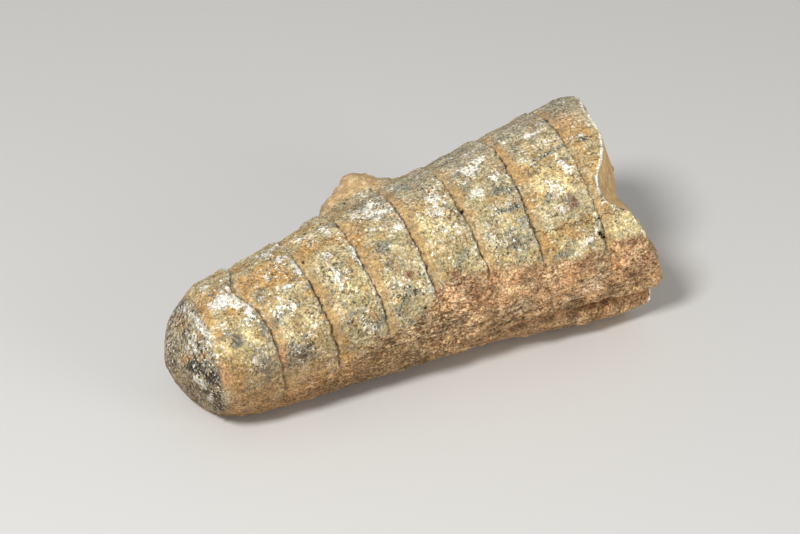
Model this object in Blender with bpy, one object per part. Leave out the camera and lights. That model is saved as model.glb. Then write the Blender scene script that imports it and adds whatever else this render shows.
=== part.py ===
"""Fossil orthoceras: the chambered core of a straight-shelled cephalopod, one piece of stone.

The stone lies on its worn underside, a narrow flat at z = 0. Its small domed end points to -X
and its broken large end to +X. Places on it are given by a station, in millimetres along the
length, and a turn, in degrees round it: 0 is the crown, 90 the near flank (-Y), 180 the
underside and -90 the far flank (+Y).
"""

import bmesh
import bpy
import numpy as np

MM = 0.001

# --- Driving dimensions, in millimetres and degrees -------------------------------------------

MIDDLE_STATION = 28.65      # station that lies over the origin
CORE_RADIUS = 10.07         # radius at station 0
TAPER = 0.0964              # growth in radius for each millimetre of station
SQUASH = 0.975              # height of a section over its width
UNDERSIDE_WEAR = 0.45       # depth of the flat worn into the round underside

# Sutures, the seams where the inner walls met the shell, from the small end to the large one.
# Each bows back towards the small end on the near upper side: (its lowest station, how far it
# climbs away from there, the turn there, how far the shell is broken back at the crown).
SUTURES = (
    (-4.30, 1.4, 60.0, 0.0),
    (3.30, 1.3, 15.0, 1.7),
    (11.20, 1.4, 20.0, 0.0),
    (19.10, 1.2, 24.0, 0.0),
    (26.95, 1.6, 32.0, 0.0),
    (34.80, 2.0, 30.0, 0.0),
    (43.40, 2.2, 46.0, 0.0),
    (52.85, 2.4, 42.0, 0.0),
)
BROKEN_BACK_TURN = 9.0      # where round the crown the shell is broken back
BROKEN_BACK_HALF_WIDTH = 30.0
CHAMBER_STEP = 0.32         # each chamber swells this much before the next suture
SUTURE_DEPTH = 0.22
SUTURE_HALF_WIDTH = 0.30

DOME_HEIGHT = 2.5           # how far the small end bulges past the first suture
DOME_FLATNESS = 2.3
DOME_EDGE_WEAR = 1.3        # worn upper edge of the dome
DOME_FOOT_WEAR = 1.7        # worn lower edge of the dome
RIM_WEAR = 1.0              # worn edge of the broken end

KNOB_TURN = -51.0           # lump of matrix high on the far shoulder
# Its height along its crest, as (station, height).
KNOB_CREST = (
    (17.0, 0.0), (18.4, 0.6), (20.2, 0.6), (21.6, 1.0), (22.4, 1.8), (23.6, 2.3), (24.8, 2.9),
    (25.8, 3.4), (26.6, 4.0), (27.4, 4.1), (28.4, 3.7), (29.4, 3.0), (30.2, 2.3), (31.2, 1.6),
    (32.2, 0.9), (33.4, 0.3), (34.6, 0.0),
)

LIP_HEIGHT = 1.5            # ledge of matrix low on the near flank, under a groove
LEDGE_GROOVE_DEPTH = 0.9
LEDGE_GROOVE_HALF_WIDTH = 3.2

BREAK_STATION = 64.0        # where the large end is broken across
BOWL_DEPTH = 2.0            # hollow of the last inner wall in the broken end
# A smooth chip is gone from the near upper side of the broken end. Its crest, as (turn,
# distance from the core's middle line):
CREST = (
    (-34, 17.0), (-19, 14.1), (0, 11.0), (12, 9.2), (21, 8.4), (34, 7.1), (52, 6.4), (66, 6.6),
    (76, 8.1), (82, 10.0), (87, 11.7), (91, 14.0), (96, 17.0),
)

# The broken edge, as (turn, station); the chip's notch is the dip near turn 47.
RIM = (
    (-180, 62.6), (-120, 62.8), (-70, 63.4), (-30, 62.4), (-16, 61.3), (0, 59.2),
    (17, 58.6), (26, 57.9), (38, 55.0), (47, 54.0), (54, 54.8), (63, 57.5), (76, 59.2),
    (90, 60.9), (106, 62.7), (120, 63.8), (133, 63.6), (146, 62.4), (160, 62.4), (180, 62.6),
)

# Where the rough crust begins on the near flank, as (station, turn).
CRUST_EDGE = (
    (-6, 150), (2, 128), (7, 112), (11, 103), (13.5, 94), (17, 88), (22, 84), (25.5, 78),
    (28, 64), (32, 64), (36, 67), (40, 70), (44, 75), (48, 77), (54, 79), (60, 80), (64, 82),
)
FAR_CRUST_TURN = 110.0      # and on the far flank
CRUST_SINK = 0.10           # the crust lies this much under the chambers at the small end

# --- Facets -----------------------------------------------------------------------------------

FACETS_ROUND = 60
DOME_SHARES = (0.16, 0.34, 0.52, 0.68, 0.82, 0.92)
CHAMBER_SHARES = (0.0, 0.035, 0.15, 0.3, 0.45, 0.6, 0.75, 0.95)
CHIP_STEPS = 4
BOWL_SHARES = (0.85, 0.6, 0.3)

STONE_COLOR = (0.42, 0.31, 0.18, 1.0)


def ease(value, start, end):
    """A smooth climb from 0 at start to 1 at end."""
    share = np.clip((value - start) / (end - start), 0.0, 1.0)
    return share * share * (3.0 - 2.0 * share)


def hump(value, half_width):
    """A smooth rise to 1 at 0 and back to 0 at half_width on either side."""
    return ease(half_width - np.abs(value), 0.0, half_width)


def turned(angle):
    """An angle brought into -180 to 180 degrees."""
    return (angle + 180.0) % 360.0 - 180.0


def along(outline, at):
    """Read a list of (place, value) points."""
    places, values = zip(*outline)
    return np.interp(at, places, values)


def core_radius(station):
    return CORE_RADIUS + TAPER * station


def suture_station(suture, turn):
    station, climb, low_turn, broken_back = suture
    bow = climb * np.sin(np.radians(turn - low_turn)) ** 2
    return station + bow - broken_back * hump(turn - BROKEN_BACK_TURN, BROKEN_BACK_HALF_WIDTH)


def crust_cover(station, turn):
    """1 where the rough crust covers the chambers, 0 where they are bare."""
    edge = along(CRUST_EDGE, station)
    near = ease(turn, edge - 3.0, edge + 6.0)
    far = ease(-turn, FAR_CRUST_TURN - 6.0, FAR_CRUST_TURN + 6.0)
    return np.maximum(near, far)


def chambers(station, turn):
    """Height of the swelling chambers and their sunken sutures over the plain cone."""
    height = np.full(turn.shape, 0.0)
    starts = [suture_station(suture, turn) for suture in SUTURES]
    for start, end in zip(starts, starts[1:] + [along(RIM, turn) + 2.0]):
        share = np.clip((station - start) / (end - start), 0.0, 1.0)
        inside = (station >= start) & (station < end)
        height = np.where(inside, CHAMBER_STEP * (share ** 0.7 - 0.55), height)
        height = height - SUTURE_DEPTH * np.exp(-((station - start) / SUTURE_HALF_WIDTH) ** 2)
    return height


def dome_wear(station, turn):
    """How much the edge of the small end is worn down, above and at its foot."""
    upper = DOME_EDGE_WEAR * hump(turned(turn + 40.0), 90.0) * ease(-station, 0.0, 3.9)
    foot = DOME_FOOT_WEAR * hump(turned(turn - 156.0), 70.0) * ease(-station, -2.5, 4.2)
    return upper + foot


def knob(station, turn):
    """The lump of matrix, steep on its near side and drawn out down the far flank."""
    past = turned(turn - KNOB_TURN)
    width = np.where(past > 0.0, 13.0, 24.0)
    return 1.05 * along(KNOB_CREST, station) * np.exp(-np.abs(past / width) ** 2.6)


def ledge(station, turn):
    """The groove that runs low along the near flank, and the lip under it."""
    past = turn - (119.0 + 0.4 * (station - 44.0))
    groove = np.exp(-(past / LEDGE_GROOVE_HALF_WIDTH) ** 2) * ease(station, 39.0, 54.0)
    lip = ease(past, 1.0, 10.0) * ease(-turn, -170.0, -148.0)
    lip = lip * ease(station, 36.0, 58.0) * (1.0 - 0.4 * ease(station, 60.0, 64.0))
    return LIP_HEIGHT * lip - LEDGE_GROOVE_DEPTH * groove


def worn_rim(station, turn):
    """How much the broken edge is rounded off over the crown and down the far flank."""
    rim = along(RIM, turn)
    return RIM_WEAR * ease(station, rim - 2.6, rim + 0.2) ** 2 * hump(turned(turn + 52.0), 66.0)


def relief(station, turn):
    """Height of the weathered surface over the plain cone."""
    cover = crust_cover(station, turn)
    height = chambers(station, turn) * (1.0 - 0.85 * cover)
    height = height - CRUST_SINK * cover * (1.0 - ease(station, 36.0, 50.0))
    height = height + ledge(station, turn) * cover + knob(station, turn)
    return height - dome_wear(station, turn) - worn_rim(station, turn)


def section_points(station, turn, share=1.0, axis_station=None):
    """Points in metres at a share of the way out from the core's middle to its surface."""
    place = station if axis_station is None else axis_station
    reach = share * (core_radius(place) + relief(place, turn))
    angle = np.radians(turn)
    x = (station - MIDDLE_STATION) * MM
    y = -reach * np.sin(angle) * MM
    z = (SQUASH * (core_radius(place) + reach * np.cos(angle)) - UNDERSIDE_WEAR) * MM
    return np.column_stack([x, y, z])


def dome_ring(share, turn):
    edge = suture_station(SUTURES[0], turn)
    station = edge - DOME_HEIGHT * (1.0 - share ** DOME_FLATNESS)
    return section_points(station, turn, share, edge)


def crest_share(turn):
    """How far out the crest of the chipped side lies, as a share of the radius."""
    return np.minimum(along(CREST, turn) / core_radius(BREAK_STATION - 2.0), 1.0)


def end_station(share, turn):
    """Station of the broken end: a shallow bowl, with one side chipped away to the notch."""
    rim = along(RIM, turn)
    crest = crest_share(turn)

    def bowl(at):
        return BREAK_STATION - BOWL_DEPTH * (1.0 - at ** 2) + (rim - BREAK_STATION) * at ** 4

    chip = np.clip((share - crest) / np.maximum(1.0 - crest, 0.02), 0.0, 1.0)
    return np.where(share > crest, bowl(crest) + (rim - bowl(crest)) * chip, bowl(share))


def end_ring(share, turn):
    rim = along(RIM, turn)
    station = end_station(share, turn)
    ring = section_points(rim, turn, share)
    ring[:, 0] = (station - MIDDLE_STATION) * MM
    return ring


def core_rings():
    """The rings of the core in order, from the dome's middle round to the middle of the break."""
    turn = np.arange(FACETS_ROUND) * 360.0 / FACETS_ROUND - 180.0
    rings = [dome_ring(share, turn) for share in DOME_SHARES]
    rim = along(RIM, turn)
    starts = [suture_station(suture, turn) for suture in SUTURES] + [rim]
    for start, end in zip(starts, starts[1:]):
        for share in CHAMBER_SHARES:
            station = start + (end - start) * share
            rings.append(section_points(station, turn))
    rings.append(section_points(rim, turn))
    crest = np.minimum(crest_share(turn), 0.96)
    for step in range(1, CHIP_STEPS + 1):
        rings.append(end_ring(1.0 + (crest - 1.0) * step / CHIP_STEPS, turn))
    for share in BOWL_SHARES:
        rings.append(end_ring(crest * share, turn))
    return rings


def build_core():
    mesh = bmesh.new()
    loops = [[mesh.verts.new(place) for place in ring] for ring in core_rings()]
    for inner, outer in zip(loops, loops[1:]):
        for at in range(FACETS_ROUND):
            after = (at + 1) % FACETS_ROUND
            mesh.faces.new((inner[at], outer[at], outer[after], inner[after]))
    for loop in (loops[0], loops[-1]):
        cap = mesh.faces.new(loop)
        bmesh.ops.poke(mesh, faces=[cap])
    wear_underside(mesh)
    bmesh.ops.recalc_face_normals(mesh, faces=mesh.faces)
    return mesh


def wear_underside(mesh):
    """Cut everything below z = 0 away and close the cut with one flat face."""
    geometry = mesh.verts[:] + mesh.edges[:] + mesh.faces[:]
    cut = bmesh.ops.bisect_plane(
        mesh, geom=geometry, dist=1e-7, plane_co=(0.0, 0.0, 0.0), plane_no=(0.0, 0.0, 1.0),
        clear_inner=True)
    edges = [item for item in cut["geom_cut"] if isinstance(item, bmesh.types.BMEdge)]
    bmesh.ops.holes_fill(mesh, edges=edges)


def stone_material():
    material = bpy.data.materials.new("weathered_limestone")
    material.use_nodes = True
    shader = material.node_tree.nodes["Principled BSDF"]
    shader.inputs["Base Color"].default_value = STONE_COLOR
    shader.inputs["Roughness"].default_value = 0.9
    shader.inputs["Metallic"].default_value = 0.0
    return material


def main():
    for leftover in list(bpy.data.objects):
        bpy.data.objects.remove(leftover, do_unlink=True)
    mesh = bpy.data.meshes.new("orthoceras_core")
    core = build_core()
    core.to_mesh(mesh)
    core.free()
    mesh.shade_smooth()
    mesh.set_sharp_from_angle(angle=np.radians(50.0))
    mesh.materials.append(stone_material())
    fossil = bpy.data.objects.new("orthoceras_core", mesh)
    bpy.context.collection.objects.link(fossil)


main()
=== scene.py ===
import math

import bpy
import numpy as np
from bpy.props import FloatProperty, FloatVectorProperty, IntProperty, PointerProperty
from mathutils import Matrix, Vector


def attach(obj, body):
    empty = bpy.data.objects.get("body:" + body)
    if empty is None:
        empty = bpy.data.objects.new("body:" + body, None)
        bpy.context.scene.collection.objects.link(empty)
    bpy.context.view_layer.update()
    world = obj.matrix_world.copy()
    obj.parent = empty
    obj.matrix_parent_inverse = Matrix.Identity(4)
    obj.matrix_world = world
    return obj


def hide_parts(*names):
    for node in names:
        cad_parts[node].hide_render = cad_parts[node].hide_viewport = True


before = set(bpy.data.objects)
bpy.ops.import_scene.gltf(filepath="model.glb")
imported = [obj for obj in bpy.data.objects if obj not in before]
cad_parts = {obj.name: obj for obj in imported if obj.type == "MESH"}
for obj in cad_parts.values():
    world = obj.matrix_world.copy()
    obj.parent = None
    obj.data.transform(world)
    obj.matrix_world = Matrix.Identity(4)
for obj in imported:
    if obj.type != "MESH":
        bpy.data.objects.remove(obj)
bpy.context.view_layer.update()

bl_info = {
    "name": "Orthoceras fossil",
    "version": (1, 0, 0),
    "blender": (4, 5, 0),
    "location": "3D View > Sidebar > Fossil",
    "description": "A weathered, chambered fossil core lying in plain studio light",
    "category": "Add Mesh",
}

# The stone is one piece. Places on it are given by a run, in millimetres along its surface from
# the small end to the large one, and a turn, in degrees round it: 0 is the crown, 90 the near
# flank (-Y), 180 the underside and -90 the far flank. On the core itself the run is the station
# along the length; on the two ends it goes on inwards, towards their middles.

MM = 0.001
NODE = "orthoceras_core"
SLOT = "weathered_limestone"
MIDDLE_STATION = 28.65      # station that lies over the origin
END_STATION = 64.0          # the large end is broken across about here

# Sutures, the seams where the inner walls met the shell. Each bows back towards the small end on
# the near upper side: (its lowest station, how far it climbs away from there, the turn there,
# how far the shell is broken back at the crown).
SUTURES = (
    (-4.30, 1.4, 60.0, 0.0),
    (3.30, 1.3, 15.0, 1.7),
    (11.20, 1.4, 20.0, 0.0),
    (19.10, 1.2, 24.0, 0.0),
    (26.95, 1.6, 32.0, 0.0),
    (34.80, 2.0, 30.0, 0.0),
    (43.40, 2.2, 46.0, 0.0),
    (52.85, 2.4, 42.0, 0.0),
)
BROKEN_BACK_TURN = 9.0
BROKEN_BACK_HALF_WIDTH = 30.0
# How open each suture shows round the core, as (turn, strength).
SUTURE_CRACKS = (
    ((-30, 0.1), (5, 0.25), (60, 0.15), (120, 0.1)),
    ((-40, 0.5), (0, 0.3), (20, 0.5), (34, 0.8), (62, 0.8), (84, 0.2), (120, 0.1)),
    ((-40, 0.6), (-10, 0.4), (14, 0.8), (30, 1.0), (72, 1.0), (88, 0.6), (110, 0.1)),
    ((-14, 0.2), (-6, 1.0), (4, 0.5), (14, 0.4), (26, 0.9), (70, 0.9), (86, 0.5), (110, 0.1)),
    ((-40, 0.4), (-8, 0.7), (10, 0.8), (40, 0.8), (66, 1.0), (84, 0.5), (110, 0.1)),
    ((-40, 0.2), (4, 0.5), (20, 0.7), (34, 0.4), (52, 1.0), (72, 0.7), (90, 0.1)),
    ((-60, 0.6), (-24, 0.9), (20, 0.9), (60, 1.0), (80, 0.8), (96, 0.1)),
    ((-60, 0.5), (-20, 0.9), (4, 0.8), (20, 0.3), (50, 0.2), (62, 0.7), (84, 0.8), (98, 0.2)),
)
LAST_CHAMBER_LEFT = 2.0     # how much of the last chamber is broken away

# Each chamber swells towards the next suture, about the plain cone.
SWELL_ROUNDNESS = 0.7
SWELL_LEVEL = 0.55          # share of the swell at which a chamber meets the cone
SWELL_HIDDEN = 0.85         # share of it that the crust and the knob hide

# The dome of the small end, worn along its upper edge and along its foot, as stations go down.
DOME_FLATNESS = 2.3
DOME_EDGE_WEAR = 1.3
DOME_EDGE_TURN = -40.0
DOME_EDGE_HALF_WIDTH = 90.0
DOME_EDGE_GROWTH = (0.0, -3.9)
DOME_FOOT_WEAR = 1.7
DOME_FOOT_TURN = 156.0
DOME_FOOT_HALF_WIDTH = 70.0
DOME_FOOT_GROWTH = (2.5, -4.2)

# The broken edge of the large end, as (turn, station); the chip's notch is the dip near 47.
RIM = (
    (-180, 62.6), (-120, 62.8), (-70, 63.4), (-30, 62.4), (-16, 61.3), (0, 59.2), (17, 58.6),
    (26, 57.9), (38, 55.0), (47, 54.0), (54, 54.8), (63, 57.5), (76, 59.2), (90, 60.9), (106, 62.7),
    (120, 63.8), (133, 63.6), (146, 62.4), (160, 62.4), (180, 62.6),
)
# How ragged it is. All such waves are (height, rate, phase).
RIM_WAVES = ((0.132, 11.0, 0.0), (0.096, 23.0, math.radians(40.0)))
# It is rounded off over the crown and down the far flank.
RIM_WEAR = 1.0
RIM_WEAR_TURN = -52.0
RIM_WEAR_HALF_WIDTH = 66.0
RIM_WEAR_REACH = 2.6        # how far back from the edge the wear starts
# How white the broken edge shows, as (turn, strength).
RIM_WHITE = (
    (-180, 0.2), (-110, 0.5), (-40, 0.7), (-16, 1.0), (40, 1.0), (49, 0.9), (53, 0.15), (62, 0.15),
    (66, 0.5), (78, 0.5), (84, 0.2), (120, 0.15), (126, 1.0), (133, 1.0), (140, 0.2), (180, 0.2),
)
# Crest of the chip out of the broken end, as (turn, distance from the core's middle line).
CREST_STATION = 62.0
CREST = (
    (-34, 17.0), (-19, 14.1), (0, 11.0), (12, 9.2), (21, 8.4), (34, 7.1), (52, 6.4), (66, 6.6),
    (76, 8.1), (82, 10.0), (87, 11.7), (91, 14.0), (96, 17.0),
)
HIGHEST_CREST = 0.93        # share of the radius that the rings along the crest keep to

# Where the rough crust begins on the near flank, as (station, turn), and on the far one.
CRUST_EDGE = (
    (-6, 150), (2, 128), (7, 112), (11, 103), (13.5, 94), (17, 88), (22, 84), (25.5, 78), (28, 64),
    (32, 64), (36, 67), (40, 70), (44, 75), (48, 77), (54, 79), (60, 80), (64, 82),
)
FAR_CRUST_EDGE = -110.0
FAR_CRUST_WAVES = ((5.0, 0.31, 0.8), (3.0, 0.83, 0.0))
SUNK_CRUST = 0.10           # how far the crust lies back up to the first of these stations
SUNK_CRUST_ENDS = (36.0, 50.0)

# The ledge low on the near flank: a groove that lies askew, the brow over it and the lip under
# it. Turns are counted from the groove's middle, and each grows over a span of stations.
GROOVE_TURN = 119.0
GROOVE_STATION = 44.0
GROOVE_SLOPE = 0.4          # degrees of turn for each millimetre of station
GROOVE_HALF_TURN = 3.6
GROOVE_DEPTH = 1.1
GROOVE_GROWTH = (39.0, 54.0)
BROW_TURN = -7.5
BROW_HALF_TURN = 4.5
BROW_SWELL = 0.25
BROW_GROWTH = (38.0, 52.0)
LIP_SLOPE = (1.0, 8.0)      # turns over which the lip rises
LIP_FOOT = (170.0, 148.0)   # turns of the stone over which it rises from the underside
LIP_GROWTH = (36.0, 58.0)
LIP_FALL = 0.4              # share of its height that it loses again at the broken end
LIP_FALLS = (60.0, 64.0)

# The knob of matrix on the far shoulder, and its height along its crest, as (station, height).
KNOB_TURN = -51.0
KNOB_SPREAD_UP = 13.0       # how far it reaches round towards the crown
KNOB_SPREAD_DOWN = 24.0
KNOB_SQUARENESS = 2.6
KNOB_SIZE = 1.05
KNOB_CREST = (
    (17.0, 0.0), (18.4, 0.7), (20.2, 0.6), (21.6, 1.0), (22.4, 1.9), (23.2, 2.3), (24.0, 2.3),
    (25.0, 3.0), (25.8, 3.4), (26.6, 4.0), (27.4, 4.1), (28.4, 3.7), (29.4, 3.0), (30.2, 2.3),
    (31.2, 1.6), (32.2, 0.9), (33.4, 0.3), (34.6, 0.0),
)

# The crack that runs along the near flank to the broken edge, as (run, turn).
CRACK = (
    (43.7, 56), (46.1, 59), (48.5, 58), (51.0, 60), (52.7, 61), (54.9, 61), (57.4, 61),
)
CRACK_WAVES = ((0.9, 3.1, 0.0), (0.7, 7.3, 1.0))
# Small deep holes: (run, turn, radius, depth), in millimetres and degrees.
HOLES = (
    (52.7, 69.5, 0.30, 0.8), (53.1, 71.5, 0.40, 1.0), (53.5, 73.4, 0.26, 0.8),
    (35.0, 26, 0.34, 0.7), (25.7, 76, 0.30, 0.6), (12.1, 10, 0.30, 0.5), (-6.9, 72, 0.34, 0.6),
    (-9.6, 96, 0.40, 0.5), (-5.4, 98, 0.36, 0.5), (23.9, -35, 0.30, 0.28), (24.7, -29, 0.26, 0.28),
    (22.4, -31, 0.24, 0.25), (20.7, -41, 0.30, 0.28),
)
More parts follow.
